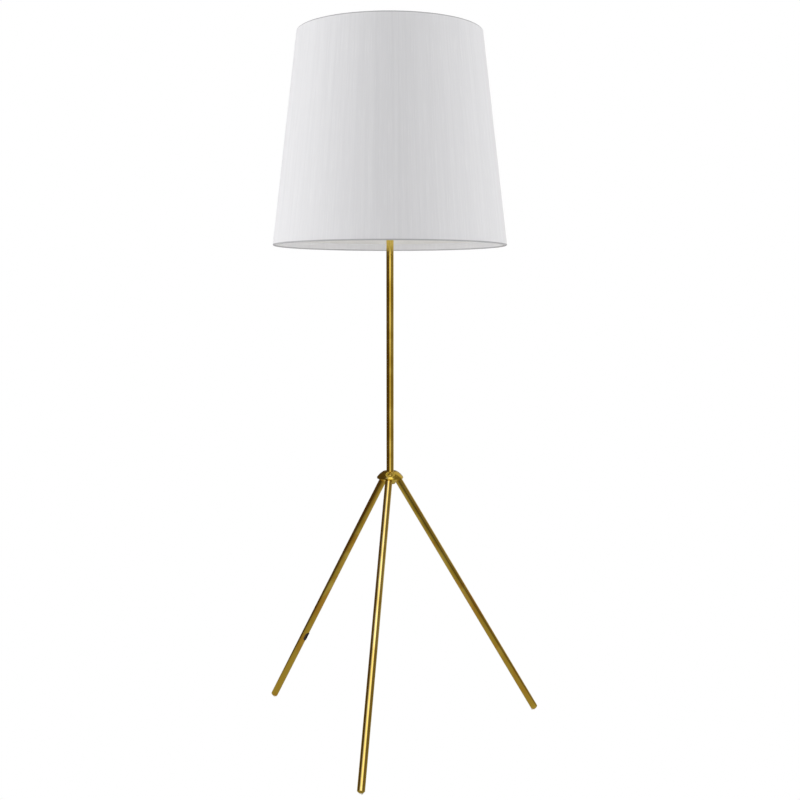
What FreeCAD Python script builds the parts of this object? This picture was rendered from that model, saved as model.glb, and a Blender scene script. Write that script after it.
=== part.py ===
import FreeCAD, Part
import math
import os
import Sketcher

# Tripod floor lamp in turned and drawn brass, with a tapered drum shade.
# The Z axis points up and the floor is z = 0. The stem and the shade stand on one
# vertical axis, and three straight legs run down from the hub to the floor.

Vector = FreeCAD.Vector
doc = FreeCAD.newDocument("TripodFloorLamp")
parts = []

# Driving dimensions, in millimetres and degrees.
DRIVING = [
    # stand
    ("tube_radius", 8),
    ("tube_wall", 1.2),
    ("leg_splay", 31.6),
    ("leg_apex_height", 600),
    ("stem_length", 626),
    ("front_leg_azimuth", -90),
    # hub
    ("hub_nut_room", 2.42),
    ("hub_wall", 1.5),
    ("hub_seat_inner_margin", 1.2),
    ("hub_seat_outer_margin", 2.17),
    ("hub_seat_depth", 1.5),
    ("hub_seat_clearance", 0.05),
    ("hub_rim_band", 2.8),
    ("hub_cone_height", 13.2),
    ("hub_cone_bulge", 38),
    ("hub_top_radius", 14.5),
    ("hub_web", 5),
    ("hub_edge_round", 0.7),
    ("leg_hole_depth", 17),
    ("cap_thickness", 2),
    ("cap_spigot", 4),
    ("cap_lip", 0.5),
    # threads and tube bushes
    ("thread_radius", 5),
    ("nipple_bore_radius", 3.5),
    ("bush_length", 16),
    ("leg_nipple_depth", 12.2),
    ("nut_margin", 2),
    ("nut_thickness", 3),
    ("nut_washer_thickness", 1),
    ("nut_washer_margin", 3),
    ("nipple_stand_out", 1.5),
    # feet
    ("foot_dome_rise", 4.38),
    ("foot_spigot", 12),
    ("foot_pad_radius", 4),
    ("foot_pad_height", 1.9),
    ("foot_pad_thickness", 1.2),
    # cord outlet in the left leg
    ("outlet_distance", 502),
    ("outlet_length", 21),
    ("outlet_width", 9),
    ("grommet_wall", 1.3),
    ("grommet_flange", 1.2),
    ("grommet_flange_thickness", 0.9),
    # stem head and harp
    ("check_ring_margin", 4),
    ("check_ring_thickness", 2),
    ("saddle_thickness", 2),
    ("saddle_width", 12),
    ("saddle_arm_clearance", 6.6),
    ("saddle_arm_height", 26),
    ("saddle_bend", 2),
    ("saddle_tab_width", 4),
    ("saddle_tab_height", 7),
    ("harp_height", 304),
    ("harp_reach", 63.5),
    ("harp_wire_radius", 1.6),
    ("harp_straight", 25),
    ("harp_sweep", 40),
    ("harp_corner", 51.5),
    ("sleeve_radius", 4.2),
    ("sleeve_bore_radius", 2.6),
    ("sleeve_length", 14),
    ("slide_gap", 0.1),
    ("stud_radius", 3.175),
    ("stud_length", 13),
    ("stud_collar_radius", 5.5),
    ("stud_collar_height", 6),
    # lamp socket and bulb
    ("socket_radius", 16.8),
    ("socket_wall", 0.6),
    ("socket_cap_height", 26),
    ("socket_cap_slope", 13),
    ("socket_boss_margin", 3),
    ("socket_boss_height", 3),
    ("socket_shell_height", 47),
    ("socket_lap", 2),
    ("socket_body_radius", 15.4),
    ("socket_body_height", 16),
    ("socket_floor", 27),
    ("screw_shell_radius", 13.2),
    ("screw_shell_wall", 0.5),
    ("screw_shell_height", 26),
    ("contact_radius", 3.5),
    ("contact_thickness", 1.2),
    ("terminal_radius", 2.4),
    ("terminal_height", 1.8),
    ("terminal_offset", 10),
    ("switch_level", 33),
    ("switch_shaft_radius", 2.4),
    ("switch_shaft_inner_end", 8),
    ("switch_shaft_length", 18),
    ("switch_hole_radius", 2.9),
    ("knob_radius", 7.5),
    ("knob_length", 13),
    ("knob_stand_off", 20),
    ("knob_flute_radius", 1.2),
    ("shaft_clearance", 0.05),
    ("bulb_cap_radius", 12.95),
    ("bulb_cap_height", 22),
    ("bulb_foot_height", 3.2),
    ("bulb_tip_height", 1.4),
    ("bulb_tip_radius", 4.2),
    ("bulb_radius", 30),
    ("bulb_length", 110),
    ("bulb_neck_radius", 12.6),
    ("bulb_wall", 0.8),
    ("bulb_cap_wall", 0.35),
    # shade
    ("shade_height", 457),
    ("shade_top_radius", 201),
    ("shade_bottom_radius", 255.5),
    ("shade_recess", 21),
    ("cloth_thickness", 0.6),
    ("liner_thickness", 0.7),
    ("ring_wire_radius", 1.75),
    ("fold_clearance", 0.05),
    ("fold_rise", 1),
    ("fold_meets_liner", 5.5),
    ("fold_height", 14),
    ("spider_washer_radius", 14),
    ("spider_washer_thickness", 2),
    ("spoke_start", 9),
    ("spoke_bend", 12),
    ("spoke_notch_clearance", 0.15),
    # finial
    ("finial_washer_radius", 7),
    ("finial_washer_thickness", 1),
    ("finial_base_radius", 6.5),
    ("finial_base_height", 2.2),
    ("finial_cove", 2.6),
    ("finial_neck_radius", 4.4),
    ("finial_neck_level", 5),
    ("finial_ball_radius", 7),
    ("finial_waist_radius", 3),
    ("finial_waist_level", 18),
    ("finial_tip_radius", 3.2),
    ("finial_height", 22.4),
    ("finial_hole_depth", 12.5),
]

# Levels and radii worked out from the driving dimensions.
WORKED = [
    # stand
    ("tube_bore", "Sizes.tube_radius - Sizes.tube_wall"),
    ("nut_width", "2 * (Sizes.thread_radius + Sizes.nut_margin)"),
    ("nut_corner", "nut_width / 2 / cos(30)"),
    ("nut_washer_radius", "Sizes.thread_radius + Sizes.nut_washer_margin"),
    ("hub_cavity_radius", "nut_corner + Sizes.hub_nut_room"),
    ("hub_bottom_radius", "hub_cavity_radius + Sizes.hub_wall"),
    ("seat_reach", "Sizes.tube_radius * cos(Sizes.leg_splay)"),
    ("seat_radius", "hub_bottom_radius + Sizes.hub_seat_inner_margin + seat_reach"),
    ("seat_distance", "seat_radius / sin(Sizes.leg_splay)"),
    ("seat_level", "-seat_distance * cos(Sizes.leg_splay)"),
    ("hub_rim_radius", "seat_radius + seat_reach + Sizes.hub_seat_outer_margin"),
    ("hub_rim_low", "seat_level + (hub_rim_radius - seat_radius) * tan(Sizes.leg_splay)"),
    ("hub_bottom", "seat_level + (hub_bottom_radius - seat_radius) * tan(Sizes.leg_splay)"),
    ("hub_rim_high", "hub_rim_low + Sizes.hub_rim_band"),
    ("hub_top", "hub_rim_high + Sizes.hub_cone_height"),
    ("hub_ceiling", "hub_top - Sizes.hub_web"),
    ("leg_start", "seat_distance - Sizes.hub_seat_depth"),
    ("leg_nipple_start", "seat_distance - Sizes.leg_nipple_depth"),
    ("leg_nipple_length", "Sizes.leg_nipple_depth - Sizes.hub_seat_depth + Sizes.bush_length"),
    ("dome_radius", "(Sizes.tube_radius ^ 2 + Sizes.foot_dome_rise ^ 2) / 2 / Sizes.foot_dome_rise"),
    ("dome_drop", "dome_radius - Sizes.foot_dome_rise"),
    ("dome_centre", "(Sizes.leg_apex_height - dome_radius - Sizes.foot_pad_thickness)"
                    " / cos(Sizes.leg_splay)"),
    ("leg_end", "dome_centre + dome_drop"),
    ("leg_length", "leg_end - leg_start"),
    ("foot_reach", "dome_centre * sin(Sizes.leg_splay)"),
    ("front_reach", "leg_end * sin(Sizes.leg_splay) + seat_reach"),
    ("axis_offset", "(front_reach - Sizes.shade_bottom_radius) / 2"),
    ("stem_foot", "Sizes.leg_apex_height + hub_top"),
    ("stem_head", "stem_foot + Sizes.stem_length"),
    ("nut_stack", "Sizes.nut_thickness + Sizes.nut_washer_thickness"),
    ("low_nipple_length", "Sizes.nipple_stand_out + nut_stack + Sizes.hub_web + Sizes.bush_length"),
    ("low_nipple_foot", "stem_foot + Sizes.bush_length - low_nipple_length"),
    # stem head
    ("saddle_level", "stem_head + Sizes.check_ring_thickness"),
    ("socket_level", "saddle_level + Sizes.saddle_thickness"),
    ("high_nipple_length", "Sizes.bush_length + Sizes.check_ring_thickness"
                           " + Sizes.saddle_thickness + nut_stack"),
    ("check_ring_radius", "Sizes.tube_radius + Sizes.check_ring_margin"),
    ("cap_radius", "Sizes.socket_radius + Sizes.socket_wall"),
    ("arm_inside", "cap_radius + Sizes.saddle_arm_clearance"),
    ("arm_reach", "arm_inside + Sizes.saddle_thickness / 2"),
    ("arm_outside", "arm_inside + Sizes.saddle_thickness"),
    ("bend_outside", "Sizes.saddle_bend + Sizes.saddle_thickness"),
    ("tab_top", "Sizes.saddle_arm_height + Sizes.saddle_tab_height"),
    ("stud_level", "saddle_level + Sizes.harp_height"),
    ("bow_height", "Sizes.harp_height - tab_top - Sizes.stud_collar_height / 2"),
    ("sweep_radius", "(Sizes.harp_reach - arm_reach) / 2 / (1 - cos(Sizes.harp_sweep))"),
    ("sweep_rise", "sweep_radius * sin(Sizes.harp_sweep)"),
    ("sweep_middle", "(Sizes.harp_reach + arm_reach) / 2"),
    # socket and bulb
    ("shell_level", "Sizes.socket_cap_height - Sizes.socket_lap"),
    ("shell_bore", "Sizes.socket_radius - Sizes.socket_wall"),
    ("boss_radius", "Sizes.thread_radius + Sizes.socket_boss_margin"),
    ("body_top", "Sizes.socket_floor + Sizes.socket_body_height"),
    ("tip_level", "body_top + Sizes.contact_thickness"),
    ("bulb_shoulder", "Sizes.bulb_tip_height + Sizes.bulb_foot_height"),
    ("bulb_cap_top", "bulb_shoulder + Sizes.bulb_cap_height"),
    ("bulb_centre", "Sizes.bulb_length - Sizes.bulb_radius"),
    ("neck_distance", "sqrt(Sizes.bulb_neck_radius ^ 2 + (bulb_centre - bulb_cap_top) ^ 2)"),
    ("flare_angle", "atan(Sizes.bulb_neck_radius / (bulb_centre - bulb_cap_top))"
                    " + acos(Sizes.bulb_radius / neck_distance)"),
    # shade, in levels above its bottom edge
    ("wall_taper", "(Sizes.shade_bottom_radius - Sizes.shade_top_radius) / Sizes.shade_height"),
    ("wall_lean", "sqrt(1 + wall_taper ^ 2)"),
    ("fold_inside", "Sizes.ring_wire_radius + Sizes.fold_clearance"),
    ("fold_outside", "fold_inside + Sizes.cloth_thickness"),
    ("low_edge", "fold_outside"),
    ("high_edge", "Sizes.shade_height - fold_outside"),
    ("low_ring_radius", "Sizes.shade_bottom_radius - wall_taper * low_edge - wall_lean * fold_outside"),
    ("high_ring_radius", "Sizes.shade_bottom_radius - wall_taper * high_edge - wall_lean * fold_outside"),
    ("wall_inside", "Sizes.cloth_thickness + Sizes.liner_thickness"),
    ("spoke_end_radius", "high_ring_radius - 2 * Sizes.ring_wire_radius"),
    ("shade_top", "stud_level + Sizes.shade_recess"),
    ("shade_bottom", "shade_top - Sizes.shade_height"),
    ("high_ring_level", "shade_bottom + high_edge"),
    ("spoke_rise", "high_ring_level - stud_level"),
    ("finial_level", "stud_level + Sizes.spider_washer_thickness + Sizes.finial_washer_thickness"),
    ("stud_hole", "Sizes.stud_radius + Sizes.shaft_clearance"),
]


def spreadsheet(name, rows, formula):
    """A sheet of aliased cells, as plain numbers or as formulas."""
    sheet = doc.addObject("Spreadsheet::Sheet", name)
    for row, (alias, content) in enumerate(rows, start=1):
        sheet.set(f"A{row}", alias)
        sheet.set(f"B{row}", f"={content}" if formula else str(content))
        sheet.setAlias(f"B{row}", alias)
    doc.recompute()
    return sheet


sizes = spreadsheet("Sizes", DRIVING, formula=False)
worked = spreadsheet("Worked", WORKED, formula=True)


def value(expression):
    """The number that an expression over the two sheets gives."""
    result = worked.evalExpression(expression)
    return float(getattr(result, "Value", result))


def place(piece, level="0", yaw="0", across="0"):
    """Set a piece upright on the lamp's axis at a level above the floor."""
    piece.setExpression(
        "Placement",
        f"placement(vector({across}; Worked.axis_offset; {level}); rotation({yaw}; 0; 0))",
    )


def place_on_leg(piece, index, distance="0"):
    """Set a piece on a leg's axis, its +Z down the leg and its +X on the leg's inner side."""
    azimuth = f"(Sizes.front_leg_azimuth + {120 * index})"
    outward = f"({distance}) * sin(Sizes.leg_splay)"
    piece.setExpression(
        "Placement",
        f"placement(vector({outward} * cos({azimuth}); Worked.axis_offset + {outward} * sin({azimuth});"
        f" Sizes.leg_apex_height - ({distance}) * cos(Sizes.leg_splay));"
        f" rotation({azimuth}; 180 - Sizes.leg_splay; 0))",
    )


def finished(piece, label):
    """Name a sub-part and keep it for export."""
    piece.Label = label
    parts.append(piece)
    return piece


def new_body(name):
    return doc.addObject("PartDesign::Body", f"Body_{name}")


def origin_feature(body, role):
    return next(f for f in body.Origin.OriginFeatures if f.Role == role)


def new_sketch(body, role, offset=None):
    """A sketch on one of the body's own planes, moved by an offset expression."""
    sketch = body.newObject("Sketcher::SketchObject", "Sketch")
    sketch.AttachmentSupport = [(origin_feature(body, role), "")]
    sketch.MapMode = "FlatFace"
    if offset:
        sketch.setExpression("AttachmentOffset", offset)
    return sketch


def raised(distance):
    """An offset along a plane's own normal."""
    return f"placement(vector(0; 0; {distance}); rotation(0; 0; 0))"


def bind(sketch, kind, *where, expression):
    """Add one measured constraint and tie it to an expression."""
    number = sketch.addConstraint(Sketcher.Constraint(kind, *where, value(expression)))
    sketch.setExpression(f"Constraints[{number}]", expression)


def pin(sketch, element, end, across, up):
    """Fix one point of a sketch by its two coordinates."""
    if across == "0" and up == "0":
        sketch.addConstraint(Sketcher.Constraint("Coincident", element, end, -1, 1))
        return
    if across == "0":
        sketch.addConstraint(Sketcher.Constraint("PointOnObject", element, end, -2))
    else:
        bind(sketch, "DistanceX", -1, 1, element, end, expression=across)
    if up == "0":
        sketch.addConstraint(Sketcher.Constraint("PointOnObject", element, end, -1))
    else:
        bind(sketch, "DistanceY", -1, 1, element, end, expression=up)


CENTRED = "centred"


def arc_between(first, last, radius, turn):
    """An arc from first to last: turn is 1 where its centre is on the left of the way."""
    chord = last - first
    reach = math.sqrt(max(radius ** 2 - (chord.Length / 2) ** 2, 0))
    left = Vector(-chord.y, chord.x, 0).normalize()
    centre = (first + last) / 2 + left * reach * turn
    begin, end = (first, last) if turn > 0 else (last, first)
    angles = [math.atan2((p - centre).y, (p - centre).x) for p in (begin, end)]
    return Part.ArcOfCircle(Part.Circle(centre, Vector(0, 0, 1), radius), *angles)


def draw(sketch, outline, closed=True):
    """Draw lines and arcs through corners, every corner and radius tied to its expression.

    A corner is (across, up), or (across, up, radius, turn) where an arc leaves it: turn is 1
    where the arc's centre is on the left of the way round. CENTRED as a fifth item puts the
    centre on the vertical axis, where its two ends then fix the radius.
    """
    corners = [Vector(value(c[0]), value(c[1]), 0) for c in outline]
    count = len(outline) if closed else len(outline) - 1
    first_element = len(sketch.Geometry)
    ends = []
    for i in range(count):
        first = corners[i]
        last = corners[(i + 1) % len(corners)]
        if len(outline[i]) == 2:
            sketch.addGeometry(Part.LineSegment(first, last), False)
            ends.append((1, 2))
        else:
            sketch.addGeometry(arc_between(first, last, value(outline[i][2]), outline[i][3]), False)
            ends.append((1, 2) if outline[i][3] > 0 else (2, 1))
    for i in range(count if closed else count - 1):
        j = (i + 1) % count
        joint = (first_element + i, ends[i][1], first_element + j, ends[j][0])
        sketch.addConstraint(Sketcher.Constraint("Coincident", *joint))
    for i in range(count):
        pin(sketch, first_element + i, ends[i][0], outline[i][0], outline[i][1])
    if not closed:
        pin(sketch, first_element + count - 1, ends[-1][1], outline[-1][0], outline[-1][1])
    for i in range(count):
        if outline[i][-1] == CENTRED:
            sketch.addConstraint(Sketcher.Constraint("PointOnObject", first_element + i, 3, -2))
        elif len(outline[i]) > 2:
            bind(sketch, "Radius", first_element + i, expression=outline[i][2])


def ring(sketch, radius, across="0", up="0"):
    """Draw one circle."""
    centre = Vector(value(across), value(up), 0)
    element = sketch.addGeometry(Part.Circle(centre, Vector(0, 0, 1), value(radius)), False)
    pin(sketch, element, 3, across, up)
    bind(sketch, "Radius", element, expression=radius)


def revolve(body, outline):
    """Turn an outline of radii and heights about the body's Z axis."""
    sketch = new_sketch(body, "XZ_Plane")
    draw(sketch, outline)
    turned = body.newObject("PartDesign::Revolution", "Revolution")
    turned.Profile = sketch
    turned.ReferenceAxis = (sketch, ["V_Axis"])
    turned.Angle = 360
    return turned


def turned_body(name, outline):
    body = new_body(name)
    revolve(body, outline)
    return body


def tube_outline(outer, inner, length):
    return [(inner, "0"), (outer, "0"), (outer, length), (inner, length)]


def pad(body, sketch, length, midplane=False):
    feature = body.newObject("PartDesign::Pad", "Pad")
    feature.Profile = sketch
    feature.setExpression("Length", length)
    feature.Midplane = midplane
    return feature


def pocket(body, sketch, depth, midplane=False, forwards=False):
    """Cut against the sketch's normal, or along it."""
    feature = body.newObject("PartDesign::Pocket", "Pocket")
    feature.Profile = sketch
    feature.setExpression("Length", depth)
    feature.Midplane = midplane
    feature.Reversed = forwards
    return feature


def repeat_round(body, features, count):
    """Repeat features evenly about the body's Z axis."""
    doc.recompute()
    pattern = body.newObject("PartDesign::PolarPattern", "PolarPattern")
    pattern.Originals = features
    pattern.Axis = (origin_feature(body, "Z_Axis"), [""])
    pattern.Angle = 360
    pattern.Occurrences = count
    body.Tip = pattern
    return pattern


def round_edges(body, radius, is_wanted):
    """Round the edges of the body so far that a test picks out."""
    doc.recompute()
    base = body.Tip
    names = [f"Edge{i}" for i, edge in enumerate(base.Shape.Edges, start=1) if is_wanted(edge)]
    rounding = body.newObject("PartDesign::Fillet", "Fillet")
    rounding.Base = (base, names)
    rounding.setExpression("Radius", radius)
    return rounding


def circle_of(radius):
    """A test for full circles of one radius."""
    size = value(radius)
    return lambda edge: (
        isinstance(edge.Curve, Part.Circle)
        and len(edge.Vertexes) == 1
        and abs(edge.Curve.Radius - size) < 1e-4
    )


# ---------------------------------------------------------------- hub

HUB_TOP = "Worked.hub_top"
HUB_BOTTOM = "Worked.hub_bottom"
THREAD = "Sizes.thread_radius"
NIPPLE_BORE = "Sizes.nipple_bore_radius"
BEYOND = "5"


def along_leg(distance):
    """The offset of a sketch that faces down the first leg at a distance from the apex."""
    return (
        f"placement(vector(({distance}) * sin(Sizes.leg_splay); 0; -({distance}) * cos(Sizes.leg_splay));"
        " rotation(0; 180 - Sizes.leg_splay; 0))"
    )


def leg_bore(body, radius, depth):
    """A round pocket into the hub's underside, along the first leg."""
    outside = f"Worked.seat_distance + {BEYOND}"
    sketch = new_sketch(body, "XY_Plane", along_leg(outside))
    ring(sketch, radius)
    return pocket(body, sketch, f"{BEYOND} + {depth}")


def make_hub():
    """Turned cone with a wiring cavity, a threaded web and three tapped leg seats."""
    body = new_body("hub")
    revolve(body, [
        ("Worked.hub_cavity_radius", HUB_BOTTOM),
        ("Worked.hub_bottom_radius", HUB_BOTTOM),
        ("Worked.hub_rim_radius", "Worked.hub_rim_low"),
        ("Worked.hub_rim_radius", "Worked.hub_rim_high", "Sizes.hub_cone_bulge", 1),
        ("Sizes.hub_top_radius", HUB_TOP),
        (THREAD, HUB_TOP),
        (THREAD, "Worked.hub_ceiling"),
        ("Worked.hub_cavity_radius", "Worked.hub_ceiling"),
    ])
    round_edges(body, "Sizes.hub_edge_round", circle_of("Worked.hub_rim_radius"))
    round_edges(body, "Sizes.hub_edge_round", circle_of("Sizes.hub_top_radius"))
    seat = leg_bore(body, "Sizes.tube_radius + Sizes.hub_seat_clearance", "Sizes.hub_seat_depth")
    hole = leg_bore(body, THREAD, "Sizes.leg_hole_depth")
    repeat_round(body, [seat, hole], 3)
    place(body, "Sizes.leg_apex_height", yaw="Sizes.front_leg_azimuth")
    finished(body, "hub")


def make_hub_cap():
    """Round plate that closes the wiring cavity from below."""
    top = "Sizes.cap_spigot"
    lip = "Worked.hub_bottom_radius - Sizes.cap_lip"
    body = turned_body("hub_cap", [
        ("0", "-Sizes.cap_thickness"),
        (f"{lip} - Sizes.cap_thickness / 2", "-Sizes.cap_thickness"),
        (lip, "-Sizes.cap_thickness / 2"),
        (lip, "0"),
        ("Worked.hub_cavity_radius", "0"),
        ("Worked.hub_cavity_radius", top),
        ("Worked.hub_cavity_radius - Sizes.tube_wall", top),
        ("Worked.hub_cavity_radius - Sizes.tube_wall", "0"),
        ("0", "0"),
    ])
    place(body, "Sizes.leg_apex_height + Worked.hub_bottom")
    finished(body, "hub_cap")


def make_tube_piece(name, outer, inner, length, level):
    """A plain hollow round piece on the lamp's axis."""
    body = turned_body(name, tube_outline(outer, inner, length))
    place(body, level)
    return finished(body, name)


def make_lock_nut(name, level):
    """Hexagon nut on the hollow thread."""
    body = new_body(name)
    sketch = new_sketch(body, "XY_Plane")
    corner = "Worked.nut_corner"
    outline = [(corner, "0")]
    for step in (60, 120):
        outline.append((f"{corner} * cos({step})", f"{corner} * sin({step})"))
    outline.append((f"-({corner})", "0"))
    for step in (240, 300):
        outline.append((f"{corner} * cos({step})", f"{corner} * sin({step})"))
    draw(sketch, outline)
    ring(sketch, THREAD)
    pad(body, sketch, "Sizes.nut_thickness")
    place(body, level)
    finished(body, name)


# ---------------------------------------------------------------- stem

def make_stem():
    make_tube_piece("stem_tube", "Sizes.tube_radius", "Worked.tube_bore",
                    "Sizes.stem_length", "Worked.stem_foot")
    make_tube_piece("stem_foot_bush", "Worked.tube_bore", THREAD,
                    "Sizes.bush_length", "Worked.stem_foot")
    make_tube_piece("stem_head_bush", "Worked.tube_bore", THREAD,
                    "Sizes.bush_length", "Worked.stem_head - Sizes.bush_length")
    make_tube_piece("stem_foot_nipple", THREAD, NIPPLE_BORE,
                    "Worked.low_nipple_length", "Worked.low_nipple_foot")
    make_tube_piece("stem_head_nipple", THREAD, NIPPLE_BORE,
                    "Worked.high_nipple_length", "Worked.stem_head - Sizes.bush_length")
    ceiling = "Sizes.leg_apex_height + Worked.hub_ceiling"
    make_tube_piece("hub_lock_washer", "Worked.nut_washer_radius", THREAD,
                    "Sizes.nut_washer_thickness", f"{ceiling} - Sizes.nut_washer_thickness")
    make_lock_nut("hub_lock_nut", f"{ceiling} - Worked.nut_stack")


# ---------------------------------------------------------------- legs

LEGS = ["front", "right", "left"]
CORD_LEG = "left"


def slot_outline(length, width):
    """A slot along the leg, drawn on the plane that faces the leg's inner side."""
    half = f"({width}) / 2"
    low = f"Sizes.outlet_distance - ({length}) / 2 + {half}"
    high = f"Sizes.outlet_distance + ({length}) / 2 - {half}"
    middle_low = f"Sizes.outlet_distance - ({length}) / 2"
    middle_high = f"Sizes.outlet_distance + ({length}) / 2"
    return [
        (half, low),
        (half, high, half, 1),
        ("0", middle_high, half, 1),
        (f"-{half}", high),
        (f"-{half}", low, half, 1),
        ("0", middle_low, half, 1),
    ]


def make_leg_tube(side, index):
    """Straight leg tube; the cord leg has a slot in its inner side."""
    body = new_body(f"leg_tube_{side}")
    sketch = new_sketch(body, "XY_Plane", raised("Worked.leg_start"))
    ring(sketch, "Sizes.tube_radius")
    ring(sketch, "Worked.tube_bore")
    pad(body, sketch, "Worked.leg_length")
    if side == CORD_LEG:
        slot = new_sketch(body, "YZ_Plane")
        draw(slot, slot_outline("Sizes.outlet_length", "Sizes.outlet_width"))
        pocket(body, slot, "2 * Sizes.tube_radius", forwards=True)
    place_on_leg(body, index)
    finished(body, f"leg_tube_{side}")


def make_leg_fittings(side, index):
    """Threaded bush in the leg's top and the hollow nipple that screws it to the hub."""
    bush = turned_body(f"leg_bush_{side}", tube_outline("Worked.tube_bore", THREAD, "Sizes.bush_length"))
    place_on_leg(bush, index, "Worked.leg_start")
    finished(bush, f"leg_bush_{side}")
    nipple = turned_body(f"leg_nipple_{side}", tube_outline(THREAD, NIPPLE_BORE, "Worked.leg_nipple_length"))
    place_on_leg(nipple, index, "Worked.leg_nipple_start")
    finished(nipple, f"leg_nipple_{side}")


def make_foot(side, index):
    """Domed brass end cap on a spigot, and the clear pad under it."""
    cap = turned_body(f"foot_cap_{side}", [
        ("0", "-Sizes.foot_spigot"),
        ("Worked.tube_bore", "-Sizes.foot_spigot"),
        ("Worked.tube_bore", "0"),
        ("Sizes.tube_radius", "0", "Worked.dome_radius", 1, CENTRED),
        ("0", "Sizes.foot_dome_rise"),
    ])
    place_on_leg(cap, index, "Worked.leg_end")
    finished(cap, f"foot_cap_{side}")
    dome = "Worked.dome_radius"
    centre = f"(Sizes.foot_pad_thickness + {dome})"
    pad_lip = f"sqrt({dome} ^ 2 - ({centre} - Sizes.foot_pad_height) ^ 2)"
    foot_pad = turned_body(f"foot_pad_{side}", [
        ("0", "0"),
        ("Sizes.foot_pad_radius", "0"),
        ("Sizes.foot_pad_radius", "Sizes.foot_pad_height"),
        (pad_lip, "Sizes.foot_pad_height", dome, -1, CENTRED),
        ("0", "Sizes.foot_pad_thickness"),
    ])
    azimuth = f"(Sizes.front_leg_azimuth + {120 * index})"
    foot_pad.setExpression(
        "Placement",
        f"placement(vector(Worked.foot_reach * cos({azimuth});"
        f" Worked.axis_offset + Worked.foot_reach * sin({azimuth}); 0); rotation({azimuth}; 0; 0))",
    )
    finished(foot_pad, f"foot_pad_{side}")


def slot_prism(name, length, width, reach):
    """Slot-shaped block from the leg's axis outwards."""
    sketch = doc.addObject("Sketcher::SketchObject", f"Outline_{name}")
    sketch.Placement = FreeCAD.Placement(Vector(0, 0, 0), FreeCAD.Rotation(Vector(1, 1, 1), 120))
    draw(sketch, slot_outline(length, width))
    prism = doc.addObject("Part::Extrusion", f"Prism_{name}")
    prism.Base = sketch
    prism.DirMode = "Normal"
    prism.Solid = True
    prism.setExpression("LengthFwd", reach)
    return prism


def wall_ring(name, inner, outer):
    """Round wall about the leg's axis, past both ends of the outlet."""
    solids = []
    for radius in (outer, inner):
        cylinder = doc.addObject("Part::Cylinder", f"Round_{name}")
        cylinder.setExpression("Radius", radius)
        cylinder.setExpression("Height", "2 * Sizes.outlet_length")
        cylinder.setExpression("Placement", raised("Sizes.outlet_distance - Sizes.outlet_length"))
        solids.append(cylinder)
    wall = doc.addObject("Part::Cut", f"Wall_{name}")
    wall.Base = solids[0]
    wall.Tool = solids[1]
    return wall


def slot_of_wall(name, length, width, inner, outer):
    """The piece of a round wall inside a slot outline."""
    common = doc.addObject("Part::Common", f"Piece_{name}")
    common.Base = wall_ring(name, inner, outer)
    common.Tool = slot_prism(name, length, width, "2 * Sizes.tube_radius")
    return common


def make_grommet(index):
    """Oblong rubber bush: a neck through the tube's wall between two curved flanges."""
    flange = "2 * Sizes.grommet_flange"
    lip = "Sizes.grommet_flange_thickness"
    bore = "Worked.tube_bore"
    face = "Sizes.tube_radius"
    layers = doc.addObject("Part::MultiFuse", "GrommetLayers")
    wide = (f"Sizes.outlet_length + {flange}", f"Sizes.outlet_width + {flange}")
    layers.Shapes = [
        slot_of_wall("inner_flange", *wide, f"{bore} - {lip}", bore),
        slot_of_wall("neck", "Sizes.outlet_length", "Sizes.outlet_width", bore, face),
        slot_of_wall("outer_flange", *wide, face, f"{face} + {lip}"),
    ]
    grommet = doc.addObject("Part::Cut", "Grommet")
    grommet.Base = layers
    grommet.Tool = slot_prism("cord_way", "Sizes.outlet_length - 2 * Sizes.grommet_wall",
                              "Sizes.outlet_width - 2 * Sizes.grommet_wall", "2 * Sizes.tube_radius")
    place_on_leg(grommet, index)
    finished(grommet, "cord_grommet")


def make_legs():
    for index, side in enumerate(LEGS):
        make_leg_tube(side, index)
        make_leg_fittings(side, index)
        make_foot(side, index)
    make_grommet(LEGS.index(CORD_LEG))


# ---------------------------------------------------------------- harp

def make_check_ring():
    """Turned collar that caps the stem under the harp's saddle."""
    body = turned_body("check_ring", tube_outline("Worked.check_ring_radius", THREAD,
                                                   "Sizes.check_ring_thickness"))
    place(body, "Worked.stem_head")
    finished(body, "check_ring")


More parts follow.
